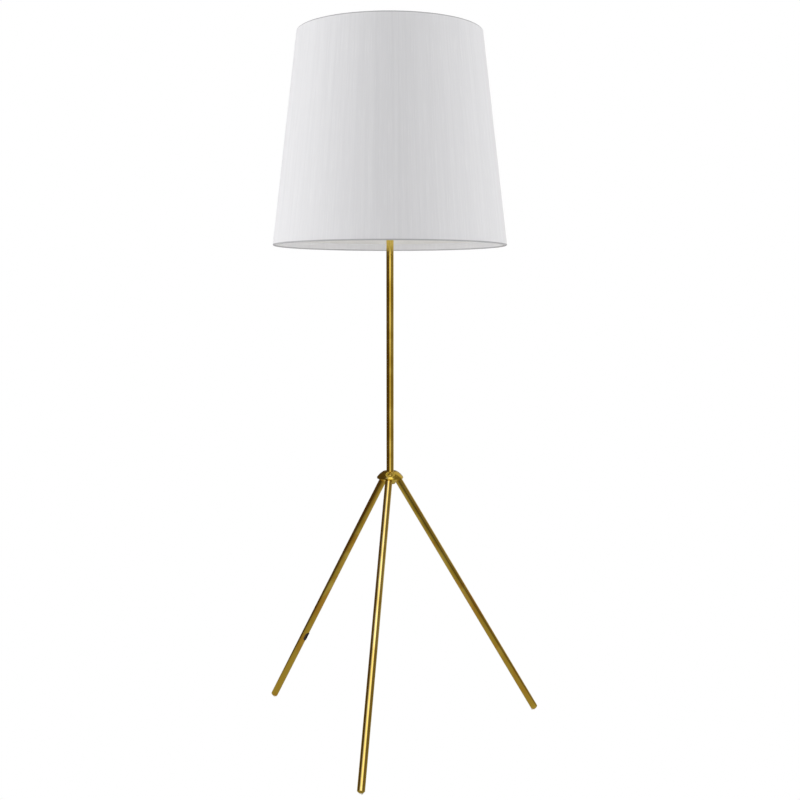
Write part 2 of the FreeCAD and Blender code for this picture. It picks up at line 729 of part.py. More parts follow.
def make_harp_saddle():
    """Steel strip bent into a U, with a narrow tab on each arm."""
    body = new_body("harp_saddle")
    side = new_sketch(body, "XZ_Plane")
    strip = "Sizes.saddle_thickness"
    outer_bend = "Worked.bend_outside"
    flat_outer = f"Worked.arm_outside - {outer_bend}"
    flat_inner = "Worked.arm_inside - Sizes.saddle_bend"
    arm = "Sizes.saddle_arm_height"
    inner_bend_top = f"{strip} + Sizes.saddle_bend"
    draw(side, [
        (f"-({flat_outer})", "0"),
        (flat_outer, "0", outer_bend, 1),
        ("Worked.arm_outside", outer_bend),
        ("Worked.arm_outside", arm),
        ("Worked.arm_inside", arm),
        ("Worked.arm_inside", inner_bend_top, "Sizes.saddle_bend", -1),
        (flat_inner, strip),
        (f"-({flat_inner})", strip, "Sizes.saddle_bend", -1),
        ("-Worked.arm_inside", inner_bend_top),
        ("-Worked.arm_inside", arm),
        ("-Worked.arm_outside", arm),
        ("-Worked.arm_outside", outer_bend, outer_bend, 1),
    ])
    pad(body, side, "Sizes.saddle_width", midplane=True)
    tabs = new_sketch(body, "XZ_Plane")
    for sign in ("-", ""):
        near, far = ("outside", "inside") if sign else ("inside", "outside")
        draw(tabs, [
            (f"{sign}Worked.arm_{near}", f"{arm} - {strip}"),
            (f"{sign}Worked.arm_{far}", f"{arm} - {strip}"),
            (f"{sign}Worked.arm_{far}", "Worked.tab_top"),
            (f"{sign}Worked.arm_{near}", "Worked.tab_top"),
        ])
    pad(body, tabs, "Sizes.saddle_tab_width", midplane=True)
    hole = new_sketch(body, "XY_Plane")
    ring(hole, THREAD)
    pocket(body, hole, f"2 * {strip}", forwards=True)
    place(body, "Worked.saddle_level")
    finished(body, "harp_saddle")


def make_harp_bow():
    """Bent wire: straight ends, an outward sweep each side, and a rounded top."""
    body = new_body("harp_bow")
    start = "Worked.tab_top"
    straight_end = f"({start} + Sizes.harp_straight)"
    sweep_end = f"({straight_end} + 2 * Worked.sweep_rise)"
    top = f"({start} + Worked.bow_height)"
    half = [
        ("Worked.arm_reach", start),
        ("Worked.arm_reach", straight_end, "Worked.sweep_radius", -1),
        ("Worked.sweep_middle", f"{straight_end} + Worked.sweep_rise", "Worked.sweep_radius", 1),
        ("Sizes.harp_reach", sweep_end),
        ("Sizes.harp_reach", f"{top} - Sizes.harp_corner", "Sizes.harp_corner", 1),
        ("Sizes.harp_reach - Sizes.harp_corner", top),
    ]
    mirrored = [(f"-({across})", up) for across, up in ((c[0], c[1]) for c in reversed(half))]
    arcs = [("Sizes.harp_corner", 1), None, ("Worked.sweep_radius", 1), ("Worked.sweep_radius", -1)]
    for position, arc in enumerate(arcs):
        if arc:
            mirrored[position] += arc
    profile = new_sketch(body, "XY_Plane", raised(start))
    ring(profile, "Sizes.harp_wire_radius", across="Worked.arm_reach")
    spine = new_sketch(body, "XZ_Plane")
    draw(spine, half + mirrored, closed=False)
    pipe = body.newObject("PartDesign::AdditivePipe", "AdditivePipe")
    pipe.Profile = profile
    pipe.Spine = spine
    place(body, "Worked.saddle_level")
    finished(body, "harp_bow")


def make_harp_stud():
    """Swivel collar on the top of the bow, with the thread that holds the shade."""
    body = turned_body("harp_stud", [
        ("0", "-Sizes.stud_collar_height"),
        ("Sizes.stud_collar_radius", "-Sizes.stud_collar_height"),
        ("Sizes.stud_collar_radius", "0"),
        ("Sizes.stud_radius", "0"),
        ("Sizes.stud_radius", "Sizes.stud_length"),
        ("0", "Sizes.stud_length"),
    ])
    hole = new_sketch(body, "YZ_Plane")
    ring(hole, "Sizes.harp_wire_radius", up="-Sizes.stud_collar_height / 2")
    pocket(body, hole, "4 * Sizes.stud_collar_radius", midplane=True)
    place(body, "Worked.stud_level")
    finished(body, "harp_stud")


def make_harp_sleeves():
    """Sliding sleeves that lock the bow's ends on the saddle's tabs."""
    for side, sign in (("left", "-"), ("right", "")):
        body = turned_body(f"harp_sleeve_{side}", tube_outline(
            "Sizes.sleeve_radius", "Sizes.sleeve_bore_radius", "Sizes.sleeve_length"))
        place(body, "Worked.saddle_level + Sizes.saddle_arm_height + Sizes.slide_gap",
              across=f"{sign}Worked.arm_reach")
        finished(body, f"harp_sleeve_{side}")


# ---------------------------------------------------------------- socket and bulb

def shaft_hole(body, radius, depth):
    """A round hole from the front, towards the socket's axis."""
    sketch = new_sketch(body, "XZ_Plane", raised("2 * Sizes.socket_radius"))
    ring(sketch, radius, up="Sizes.switch_level")
    return pocket(body, sketch, f"2 * Sizes.socket_radius - {depth}")


def make_socket_cap():
    """Spun brass cup that screws on the stem's nipple."""
    wall = "Sizes.socket_wall"
    boss = "Worked.boss_radius"
    body = turned_body("socket_cap", [
        (THREAD, "0"),
        (boss, "0"),
        (boss, "Sizes.socket_boss_height"),
        ("Worked.cap_radius", "Sizes.socket_cap_slope"),
        ("Worked.cap_radius", "Sizes.socket_cap_height"),
        ("Sizes.socket_radius", "Sizes.socket_cap_height"),
        ("Sizes.socket_radius", f"Sizes.socket_cap_slope + {wall}"),
        (f"{boss} - {wall}", f"Sizes.socket_boss_height + 2 * {wall}"),
        (THREAD, f"Sizes.socket_boss_height + 2 * {wall}"),
    ])
    place(body, "Worked.socket_level")
    finished(body, "socket_cap")


def make_socket_shell():
    """Brass sleeve round the socket, open for the switch shaft."""
    body = new_body("socket_shell")
    top = "Worked.shell_level + Sizes.socket_shell_height"
    revolve(body, [
        ("Worked.shell_bore", "Worked.shell_level"),
        ("Sizes.socket_radius", "Worked.shell_level"),
        ("Sizes.socket_radius", top),
        ("Worked.shell_bore", top),
    ])
    shaft_hole(body, "Sizes.switch_hole_radius", "Sizes.socket_body_radius")
    place(body, "Worked.socket_level")
    finished(body, "socket_shell")


def make_socket_insulator():
    """Paper tube between the brass shell and the live screw shell."""
    body = new_body("socket_insulator")
    outer = "Worked.shell_bore"
    inner = "Sizes.socket_body_radius"
    bottom = "Sizes.socket_floor"
    top = "Worked.shell_level + Sizes.socket_shell_height - Sizes.socket_wall"
    revolve(body, [(inner, bottom), (outer, bottom), (outer, top), (inner, top)])
    shaft_hole(body, "Sizes.switch_hole_radius", "Sizes.terminal_offset")
    place(body, "Worked.socket_level")
    finished(body, "socket_insulator")


def make_socket_body():
    """Moulded block that carries the contacts and the rotary switch."""
    body = new_body("socket_body")
    revolve(body, [
        ("0", "Sizes.socket_floor"),
        ("Sizes.socket_body_radius", "Sizes.socket_floor"),
        ("Sizes.socket_body_radius", "Worked.body_top"),
        ("0", "Worked.body_top"),
    ])
    shaft_hole(body, "Sizes.switch_shaft_radius + Sizes.shaft_clearance",
               "(Sizes.switch_shaft_inner_end - Sizes.shaft_clearance)")
    place(body, "Worked.socket_level")
    finished(body, "socket_body")


def make_socket_contacts():
    """Screw shell, centre contact and the two wire terminals."""
    floor = "Worked.socket_level + Worked.body_top"
    make_tube_piece("screw_shell", "Sizes.screw_shell_radius + Sizes.screw_shell_wall",
                    "Sizes.screw_shell_radius", "Sizes.screw_shell_height", floor)
    contact = turned_body("centre_contact", [
        ("0", "0"),
        ("Sizes.contact_radius", "0"),
        ("Sizes.contact_radius", "Sizes.contact_thickness"),
        ("0", "Sizes.contact_thickness"),
    ])
    place(contact, floor)
    finished(contact, "centre_contact")
    heads = []
    for sign in ("-", ""):
        head = doc.addObject("Part::Cylinder", "TerminalHead")
        head.setExpression("Radius", "Sizes.terminal_radius")
        head.setExpression("Height", "Sizes.terminal_height")
        head.setExpression(
            "Placement",
            f"placement(vector({sign}Sizes.terminal_offset; 0; -Sizes.terminal_height); rotation(0; 0; 0))",
        )
        heads.append(head)
    screws = doc.addObject("Part::Compound", "TerminalScrews")
    screws.Links = heads
    place(screws, "Worked.socket_level + Sizes.socket_floor")
    finished(screws, "terminal_screws")


def place_facing_front(piece, stand_off):
    """Set a piece's +Z towards the front at the switch's level."""
    piece.setExpression(
        "Placement",
        f"placement(vector(0; Worked.axis_offset - {stand_off};"
        " Worked.socket_level + Sizes.switch_level); rotation(0; 0; 90))",
    )


def make_switch():
    """Rotary switch shaft and its fluted knob."""
    shaft = turned_body("switch_shaft", [
        ("0", "0"),
        ("Sizes.switch_shaft_radius", "0"),
        ("Sizes.switch_shaft_radius", "Sizes.switch_shaft_length"),
        ("0", "Sizes.switch_shaft_length"),
    ])
    place_facing_front(shaft, "Sizes.switch_shaft_inner_end")
    finished(shaft, "switch_shaft")
    knob = new_body("switch_knob")
    end = "Sizes.knob_length"
    edge = "Sizes.socket_wall"
    bore_end = "(Sizes.switch_shaft_inner_end + Sizes.switch_shaft_length - Sizes.knob_stand_off)"
    revolve(knob, [
        ("Sizes.switch_shaft_radius", "0"),
        ("Sizes.knob_radius", "0"),
        ("Sizes.knob_radius", f"{end} - {edge}"),
        (f"Sizes.knob_radius - {edge}", end),
        ("0", end),
        ("0", bore_end),
        ("Sizes.switch_shaft_radius", bore_end),
    ])
    flute_sketch = new_sketch(knob, "XY_Plane")
    ring(flute_sketch, "Sizes.knob_flute_radius", across="Sizes.knob_radius + Sizes.knob_flute_radius / 2")
    flute = pocket(knob, flute_sketch, f"2 * {end}", forwards=True)
    repeat_round(knob, [flute], 12)
    place_facing_front(knob, "Sizes.knob_stand_off")
    finished(knob, "switch_knob")


def make_bulb():
    """Frosted lamp bulb: tip, insulating foot, screw cap and glass envelope."""
    level = "Worked.socket_level + Worked.tip_level"
    tip_height = "Sizes.bulb_tip_height"
    shoulder = "Worked.bulb_shoulder"
    crimp = "Sizes.bulb_cap_radius - Sizes.bulb_foot_height"
    straight = f"{shoulder} + Sizes.bulb_foot_height"
    cap_top = "Worked.bulb_cap_top"
    cap_bore = "Sizes.bulb_neck_radius"
    outlines = {
        "bulb_contact": [
            ("0", "0"),
            ("Sizes.bulb_tip_radius - Sizes.bulb_tip_height", "0"),
            ("Sizes.bulb_tip_radius", tip_height),
            ("0", tip_height),
        ],
        "bulb_insulator": [
            ("0", tip_height),
            ("Sizes.bulb_tip_radius", tip_height),
            (crimp, shoulder),
            ("0", shoulder),
        ],
        "bulb_cap": [
            ("0", shoulder),
            (crimp, shoulder),
            ("Sizes.bulb_cap_radius", straight),
            ("Sizes.bulb_cap_radius", cap_top),
            (cap_bore, cap_top),
            (cap_bore, straight),
            (crimp, f"{shoulder} + Sizes.bulb_cap_wall"),
            ("0", f"{shoulder} + Sizes.bulb_cap_wall"),
        ],
        "bulb_glass": glass_outline(),
    }
    for name, outline in outlines.items():
        piece = turned_body(name, outline)
        place(piece, level)
        finished(piece, name)


def glass_outline():
    """A sphere on a flared neck, with one wall thickness all over."""
    cap_top = "Worked.bulb_cap_top"
    start = f"{cap_top} - Sizes.socket_lap"
    centre = "Worked.bulb_centre"
    outer = "Sizes.bulb_radius"
    inner = f"({outer} - Sizes.bulb_wall)"
    tilt = "Worked.flare_angle"
    neck = "Sizes.bulb_neck_radius"
    return [
        (f"{neck} - Sizes.bulb_wall", start),
        (neck, start),
        (neck, cap_top),
        (f"{outer} * sin({tilt})", f"{centre} - {outer} * cos({tilt})", outer, 1, CENTRED),
        (outer, centre, outer, 1, CENTRED),
        ("0", f"{centre} + {outer}"),
        ("0", f"{centre} + {inner}", inner, -1, CENTRED),
        (inner, centre, inner, -1, CENTRED),
        (f"{inner} * sin({tilt})", f"{centre} - {inner} * cos({tilt})"),
        (f"{neck} - Sizes.bulb_wall", cap_top),
    ]


# ---------------------------------------------------------------- shade

def wall_radius(level, depth="0"):
    """Radius of the sloping wall at a level, at a depth square to its outer face."""
    return f"(Sizes.shade_bottom_radius - Worked.wall_taper * ({level}) - Worked.wall_lean * ({depth}))"


def wall_point(level, depth):
    return (wall_radius(level, depth), level)


def fold_face(edge, up, reach, depth):
    """One face of the cloth's turned-over edge, from the wall round the wire to the fold's end.

    edge is low or high, and up is 1 where the fold rises from the wire and -1 where it drops.
    reach is the face's distance from the wire's centre, and depth its depth on the liner.
    """
    ring_radius = f"Worked.{edge}_ring_radius"
    level = f"Worked.{edge}_edge"
    inner_side = f"{ring_radius} - {reach}"
    return [
        (f"{ring_radius} + {reach} / Worked.wall_lean",
         f"{level} + {reach} * Worked.wall_taper / Worked.wall_lean", reach, -up),
        (ring_radius, f"{level} - {up} * {reach}", reach, -up),
        (inner_side, level),
        (inner_side, f"{level} + {up} * Sizes.fold_rise"),
        wall_point(f"{level} + {up} * Sizes.fold_meets_liner", depth),
        wall_point(f"{level} + {up} * Sizes.fold_height", depth),
    ]


def other_way(path):
    """The same open path of lines and arcs, drawn from its other end."""
    corners = []
    for i in reversed(range(len(path))):
        arc = path[i - 1][2:] if i else ()
        corners.append(path[i][:2] + ((arc[0], -arc[1]) if arc else ()))
    return corners


SPIDER_YAW = "90"


def make_shade_fabric():
    """One sheet of cloth, turned over the two wires and notched where the spokes pass."""
    outside = "Worked.fold_outside"
    inside = "Worked.fold_inside"
    on_liner = "Worked.wall_inside"
    over_fold = "Worked.wall_inside + Sizes.cloth_thickness"
    body = new_body("shade_fabric")
    revolve(body, [
        *fold_face("high", -1, outside, over_fold),
        *other_way(fold_face("high", -1, inside, on_liner)),
        *fold_face("low", 1, inside, on_liner),
        *other_way(fold_face("low", 1, outside, over_fold)),
    ])
    sketch = new_sketch(body, "XY_Plane", raised("Worked.high_edge + Sizes.spoke_notch_clearance"))
    ring(sketch, "Sizes.ring_wire_radius + Sizes.spoke_notch_clearance", across="Worked.spoke_end_radius")
    notch = pocket(body, sketch, "2 * Sizes.fold_height")
    repeat_round(body, [notch], 3)
    place(body, "Worked.shade_bottom", yaw=SPIDER_YAW)
    finished(body, "shade_fabric")


def make_shade_liner():
    """Stiff lining that the cloth is laminated to, clear of both wires."""
    cloth = "Sizes.cloth_thickness"
    low = "Worked.low_edge + Worked.fold_outside"
    high = "Worked.high_edge - Worked.fold_outside"
    liner = turned_body("shade_liner", [
        wall_point(low, "Worked.wall_inside"),
        wall_point(low, cloth),
        wall_point(high, cloth),
        wall_point(high, "Worked.wall_inside"),
    ])
    place(liner, "Worked.shade_bottom")
    finished(liner, "shade_liner")


def make_shade_rings():
    """Wire hoops inside the top and bottom folds."""
    for end in ("top", "bottom"):
        which = "high" if end == "top" else "low"
        hoop = doc.addObject("Part::Torus", f"Hoop_{end}")
        hoop.setExpression("Radius1", f"Worked.{which}_ring_radius")
        hoop.setExpression("Radius2", "Sizes.ring_wire_radius")
        place(hoop, f"Worked.shade_bottom + Worked.{which}_edge")
        finished(hoop, f"shade_{end}_ring")


def make_spider():
    """Washer with three wire spokes that turn up beside the top hoop."""
    body = new_body("shade_spider")
    wire = "Sizes.ring_wire_radius"
    end = "Worked.spoke_end_radius"
    bend = "Sizes.spoke_bend"
    spine = new_sketch(body, "XZ_Plane")
    draw(spine, [
        ("Sizes.spoke_start", wire),
        (f"{end} - {bend}", wire, bend, 1),
        (end, f"{wire} + {bend}"),
        (end, "Worked.spoke_rise"),
    ], closed=False)
    profile = new_sketch(body, "YZ_Plane", raised("Sizes.spoke_start"))
    ring(profile, wire, up=wire)
    spoke = body.newObject("PartDesign::AdditivePipe", "AdditivePipe")
    spoke.Profile = profile
    spoke.Spine = spine
    washer = new_sketch(body, "XY_Plane")
    ring(washer, "Sizes.spider_washer_radius")
    plate = pad(body, washer, "Sizes.spider_washer_thickness")
    repeat_round(body, [spoke], 3)
    hole = new_sketch(body, "XY_Plane")
    ring(hole, "Worked.stud_hole")
    pocket(body, hole, "2 * Sizes.spider_washer_thickness", forwards=True)
    place(body, "Worked.stud_level", yaw=SPIDER_YAW)
    finished(body, "shade_spider")


# ---------------------------------------------------------------- finial

def make_finial():
    """Thin washer, and the turned knob that clamps the shade on the stud."""
    make_tube_piece("finial_washer", "Sizes.finial_washer_radius", "Worked.stud_hole",
                    "Sizes.finial_washer_thickness",
                    "Worked.finial_level - Sizes.finial_washer_thickness")
    tip_centre = "Sizes.finial_height - Sizes.finial_tip_radius"
    body = turned_body("finial", [
        ("Worked.stud_hole", "0"),
        ("Sizes.finial_base_radius", "0"),
        ("Sizes.finial_base_radius", "Sizes.finial_base_height", "Sizes.finial_cove", -1),
        ("Sizes.finial_neck_radius", "Sizes.finial_neck_level", "Sizes.finial_ball_radius", 1),
        ("Sizes.finial_waist_radius", "Sizes.finial_waist_level"),
        ("Sizes.finial_tip_radius", tip_centre, "Sizes.finial_tip_radius", 1, CENTRED),
        ("0", "Sizes.finial_height"),
        ("0", "Sizes.finial_hole_depth"),
        ("Worked.stud_hole", "Sizes.finial_hole_depth"),
    ])
    place(body, "Worked.finial_level")
    finished(body, "finial")


def check_and_export():
    """Stop on any failed object, then write each sub-part to its own STEP file."""
    doc.recompute()
    failed = [o.Label for o in doc.Objects if "Invalid" in o.State or "Error" in o.State]
    if failed:
        raise SystemExit(f"failed objects: {failed}")
    os.makedirs("parts", exist_ok=True)
    for piece in parts:
        shape = piece.Shape
        if shape.isNull() or not shape.isValid():
            raise SystemExit(f"bad shape: {piece.Label}")
        shape.exportStep(os.path.join("parts", f"{piece.Label}.step"))
        print(f"{piece.Label}: {len(shape.Solids)} solid, {shape.Volume:.1f} cubic mm")


make_hub()
make_hub_cap()
make_stem()
make_legs()
make_check_ring()
make_harp_saddle()
make_harp_bow()
make_harp_stud()
make_harp_sleeves()
make_socket_cap()
make_socket_shell()
make_socket_insulator()
make_socket_body()
make_socket_contacts()
make_switch()
make_bulb()
make_shade_fabric()
make_shade_liner()
make_shade_rings()
make_spider()
make_finial()
check_and_export()
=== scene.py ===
import math

import bmesh
import bpy
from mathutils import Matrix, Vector


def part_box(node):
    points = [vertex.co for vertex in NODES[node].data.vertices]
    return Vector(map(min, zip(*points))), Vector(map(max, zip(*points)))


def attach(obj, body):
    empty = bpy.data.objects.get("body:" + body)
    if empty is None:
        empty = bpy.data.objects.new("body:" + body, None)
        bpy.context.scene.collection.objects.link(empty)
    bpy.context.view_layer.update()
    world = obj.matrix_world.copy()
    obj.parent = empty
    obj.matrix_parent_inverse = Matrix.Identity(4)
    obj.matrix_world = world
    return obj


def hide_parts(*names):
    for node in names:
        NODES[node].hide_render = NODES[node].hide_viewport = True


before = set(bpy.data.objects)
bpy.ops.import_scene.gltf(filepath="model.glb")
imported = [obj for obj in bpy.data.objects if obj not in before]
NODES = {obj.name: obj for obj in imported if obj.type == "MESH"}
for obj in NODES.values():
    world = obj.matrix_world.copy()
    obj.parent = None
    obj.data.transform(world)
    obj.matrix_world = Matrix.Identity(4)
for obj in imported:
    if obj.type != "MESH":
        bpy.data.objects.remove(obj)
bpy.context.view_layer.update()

# Tripod floor lamp: an aged brass stand, a harp with its lampholder, and a tapered
# drum shade in slubbed silk. Lengths are in metres; +Z is up and -Y is the front.

MM = 0.001
SCENE = bpy.context.scene


def middle(node):
    low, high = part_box(node)
    return (low + high) / 2


AXIS = Vector((middle("stem_tube").x, middle("stem_tube").y, 0))


# ---------------------------------------------------------------- node helpers

def feed(tree, socket, item):
    """Link a socket to another one, or set its value."""
    if isinstance(item, bpy.types.NodeSocket):
        tree.links.new(item, socket)
    else:
        socket.default_value = item


def add(tree, kind, inputs=None, **settings):
    """Add one shader node with its settings and its inputs, by name or number."""
    node = tree.nodes.new("ShaderNode" + kind)
    for name, setting in settings.items():
        setattr(node, name, setting)
    for label, item in (inputs or {}).items():
        feed(tree, node.inputs[label], item)
    return node


def sums(tree, operation, *items, clamp=False):
    inputs = dict(enumerate(items))
    return add(tree, "Math", inputs, operation=operation, use_clamp=clamp).outputs[0]


def blend_colour(tree, share, first, second):
    node = add(tree, "Mix", data_type="RGBA")
    feed(tree, node.inputs["Factor"], share)
    feed(tree, node.inputs["A"], first)
    feed(tree, node.inputs["B"], second)
    return node.outputs["Result"]


def remap(tree, item, low, high, to_low=0.0, to_high=1.0, smooth=False):
    inputs = {"Value": item, "From Min": low, "From Max": high, "To Min": to_low, "To Max": to_high}
    kind = "SMOOTHSTEP" if smooth else "LINEAR"
    return add(tree, "MapRange", inputs, interpolation_type=kind).outputs["Result"]


def noise(tree, vector, scale, detail=2.0, roughness=0.5, distortion=0.0):
    inputs = {"Vector": vector, "Scale": scale, "Detail": detail, "Roughness": roughness,
              "Distortion": distortion}
    return add(tree, "TexNoise", inputs).outputs["Fac"]


def stretched(tree, vector, across, along):
    """Coordinates scaled by one factor across X and Y, and by another along Z."""
    factors = (across, across, along)
    return add(tree, "VectorMath", {0: vector, 1: factors}, operation="MULTIPLY").outputs[0]


def colour(red, green, blue):
    return (red, green, blue, 1.0)


def new_group(name, inputs, outputs):
    """An empty node group with its sockets, its input node and its output node."""
    group = bpy.data.node_groups.new(name, "ShaderNodeTree")
    kinds = {"value": "NodeSocketFloat", "vector": "NodeSocketVector", "colour": "NodeSocketColor"}
    for label, kind, default in inputs:
        socket = group.interface.new_socket(label, in_out="INPUT", socket_type=kinds[kind])
        socket.default_value = default
    for label, kind in outputs:
        group.interface.new_socket(label, in_out="OUTPUT", socket_type=kinds[kind])
    return group, group.nodes.new("NodeGroupInput"), group.nodes.new("NodeGroupOutput")


def use_group(tree, group, inputs):
    node = tree.nodes.new("ShaderNodeGroup")
    node.node_tree = group
    for label, item in inputs.items():
        feed(tree, node.inputs[label], item)
    return node


# ---------------------------------------------------------------- shared effects

def make_tarnish():
    """Patches of old lacquer and handling on brass, with small dark specks."""
    group, given, out = new_group(
        "tarnish",
        [("Vector", "vector", (0, 0, 0)), ("Patch Size", "value", 0.03), ("Cover", "value", 0.5)],
        [("Patches", "value"), ("Specks", "value"), ("Olive", "value")],
    )
    vector = given.outputs["Vector"]
    scale = sums(group, "DIVIDE", 1.0, given.outputs["Patch Size"])
    broad = noise(group, stretched(group, vector, 1.0, 0.55), scale, 3.0, 0.55, 0.7)
    start = sums(group, "SUBTRACT", 0.78, sums(group, "MULTIPLY", given.outputs["Cover"], 0.5))
    patches = remap(group, broad, start, sums(group, "ADD", start, 0.16), smooth=True)
    fine = noise(group, vector, sums(group, "MULTIPLY", scale, 9.0), 4.0, 0.65)
    specks = remap(group, fine, 0.66, 0.74, smooth=True)
    far = add(group, "VectorMath", {0: vector, 1: (4.1, 1.7, 2.3)}, operation="ADD").outputs[0]
    tinge = noise(group, far, sums(group, "MULTIPLY", scale, 0.6), 2.0)
    olive = remap(group, tinge, 0.38, 0.62, smooth=True)
    feed(group, out.inputs["Patches"], patches)
    feed(group, out.inputs["Specks"], specks)
    feed(group, out.inputs["Olive"], olive)
    return group


def make_drawn_lines():
    """Fine lines that a die or a brush leaves, long along Z."""
    group, given, out = new_group(
        "drawn lines",
        [("Vector", "vector", (0, 0, 0)), ("Lines per Metre", "value", 4000.0),
         ("Length", "value", 60.0)],
        [("Lines", "value"), ("Scratches", "value")],
    )
    vector = given.outputs["Vector"]
    across = given.outputs["Lines per Metre"]
    along = sums(group, "DIVIDE", across, given.outputs["Length"])
    spread = add(group, "CombineXYZ", {"X": across, "Y": across, "Z": along}).outputs[0]
    lined = add(group, "VectorMath", {0: vector, 1: spread}, operation="MULTIPLY").outputs[0]
    lines = noise(group, lined, 1.0, 3.0, 0.6)
    crossed = add(group, "VectorRotate", {"Vector": vector, "Axis": (1, 0.6, 0), "Angle": 0.5},
                  rotation_type="AXIS_ANGLE").outputs[0]
    worn = add(group, "VectorMath", {0: crossed, 1: (0.5, 0.5, 0.5)}, operation="MULTIPLY").outputs[0]
    laid = add(group, "VectorMath", {0: worn, 1: spread}, operation="MULTIPLY").outputs[0]
    hairs = noise(group, laid, 0.6, 2.0)
    feed(group, out.inputs["Lines"], lines)
    feed(group, out.inputs["Scratches"], remap(group, hairs, 0.64, 0.72))
    return group


def make_turned_lines():
    """Tool marks that run round a piece turned about the lamp's axis."""
    group, given, out = new_group(
        "turned lines",
        [("Vector", "vector", (0, 0, 0)), ("Lines per Metre", "value", 2500.0)],
        [("Lines", "value")],
    )
    parts = add(group, "SeparateXYZ", {0: given.outputs["Vector"]}).outputs
    squares = [sums(group, "MULTIPLY", part, part) for part in parts[:2]]
    radius = sums(group, "SQRT", sums(group, "ADD", *squares))
    along = sums(group, "ADD", sums(group, "MULTIPLY", radius, 0.8), parts[2])
    turns = sums(group, "MULTIPLY", along, given.outputs["Lines per Metre"])
    marks = add(group, "TexNoise", {"W": turns, "Scale": 1.0, "Detail": 3.0, "Roughness": 0.6},
                noise_dimensions="1D").outputs["Fac"]
    feed(group, out.inputs["Lines"], marks)
    return group


def make_grain():
    """A fine even unevenness, as moulding, enamel and paper have."""
    group, given, out = new_group(
        "grain",
        [("Vector", "vector", (0, 0, 0)), ("Size", "value", 0.001)],
        [("Height", "value"), ("Cloud", "value")],
    )
    vector = given.outputs["Vector"]
    scale = sums(group, "DIVIDE", 1.0, given.outputs["Size"])
    fine = noise(group, vector, scale, 3.0, 0.6)
    cloud = noise(group, vector, sums(group, "MULTIPLY", scale, 0.02), 3.0, 0.5)
    feed(group, out.inputs["Height"], fine)
    feed(group, out.inputs["Cloud"], cloud)
    return group


TARNISH = make_tarnish()
DRAWN_LINES = make_drawn_lines()
TURNED_LINES = make_turned_lines()
GRAIN = make_grain()


# ---------------------------------------------------------------- materials

def new_material(name, **plain):
    """A material with its Principled shader, whose even values are set on the shader itself."""
    material = bpy.data.materials.new(name)
    material.use_nodes = True
    tree = material.node_tree
    shader = tree.nodes["Principled BSDF"]
    for label, item in plain.items():
        shader.inputs[label.replace("_", " ")].default_value = item
    return material, tree, shader


def object_place(tree, centre=(0, 0, 0), turn=None):
    """Object coordinates, centred on a point and turned so that Z runs along a piece."""
    place = add(tree, "TexCoord").outputs["Object"]
    shifted = add(tree, "Mapping", {"Vector": place, "Location": tuple(-Vector(centre))})
    if turn is None:
        return shifted.outputs[0]
    return add(tree, "Mapping", {"Vector": shifted.outputs[0], "Rotation": turn}).outputs[0]


def raise_surface(tree, shader, height, distance, strength=1.0):
    bump = add(tree, "Bump", {"Height": height, "Distance": distance, "Strength": strength})
    feed(tree, shader.inputs["Normal"], bump.outputs[0])


BRASS_BRIGHT = colour(0.84, 0.62, 0.145)
BRASS_YELLOW = colour(0.80, 0.57, 0.075)
BRASS_OLIVE = colour(0.66, 0.45, 0.075)
BRASS_ORANGE = colour(0.66, 0.33, 0.045)
BRASS_DARK = colour(0.16, 0.08, 0.015)


def aged_brass(name, centre, turn=None, cover=0.55, patch=0.03, ground=BRASS_BRIGHT,
               turned=False):
    """Hand-polished brass with olive and orange patina, along one tube or round one turned piece."""
    material, tree, shader = new_material(name, Metallic=1.0)
    vector = object_place(tree, centre, turn)
    tarnish = use_group(tree, TARNISH, {"Vector": vector, "Patch Size": patch, "Cover": cover}).outputs
    clouded = blend_colour(tree, tarnish["Olive"], ground, BRASS_OLIVE)
    aged = blend_colour(tree, sums(tree, "MULTIPLY", tarnish["Patches"], 0.75), clouded, BRASS_ORANGE)
    specked = blend_colour(tree, sums(tree, "MULTIPLY", tarnish["Specks"], 0.28), aged, BRASS_DARK)
    feed(tree, shader.inputs["Base Color"], specked)
    if turned:
        marks = use_group(tree, TURNED_LINES, {"Vector": vector, "Lines per Metre": 1800.0}).outputs
        rubbed = marks["Lines"]
    else:
        marks = use_group(tree, DRAWN_LINES, {"Vector": vector, "Lines per Metre": 2600.0}).outputs
        scratches = sums(tree, "MULTIPLY", marks["Scratches"], 0.5)
        rubbed = sums(tree, "ADD", marks["Lines"], scratches)
    worn = sums(tree, "ADD", sums(tree, "MULTIPLY", tarnish["Patches"], 0.05), 0.12)
    rough = sums(tree, "ADD", worn, sums(tree, "MULTIPLY", rubbed, 0.06), clamp=True)
    feed(tree, shader.inputs["Roughness"], rough)
    raise_surface(tree, shader, rubbed, 0.000004, 0.05)
    return material


def clean_brass(name, tint, rough, lines_per_metre, centre=(0, 0, 0), turned=True):
    """Brass without patina: turned, spun or drawn, with faint clouds from handling."""
    material, tree, shader = new_material(name, Metallic=1.0)
    vector = object_place(tree, centre)
    group = TURNED_LINES if turned else DRAWN_LINES
    marks = use_group(tree, group, {"Vector": vector, "Lines per Metre": lines_per_metre}).outputs
    lines = marks["Lines"]
    cloud = use_group(tree, GRAIN, {"Vector": vector, "Size": 0.0004}).outputs["Cloud"]
    deeper = tuple(0.72 * part for part in tint[:3]) + (1.0,)
    clouded = blend_colour(tree, remap(tree, cloud, 0.4, 0.65), tint, deeper)
    feed(tree, shader.inputs["Base Color"], clouded)
    smear = sums(tree, "ADD", sums(tree, "MULTIPLY", cloud, 0.16), rough - 0.14)
    rubbed = sums(tree, "MULTIPLY", lines, 0.12)
    feed(tree, shader.inputs["Roughness"], sums(tree, "ADD", rubbed, smear))
    raise_surface(tree, shader, lines, 0.00001, 0.15)
    return material


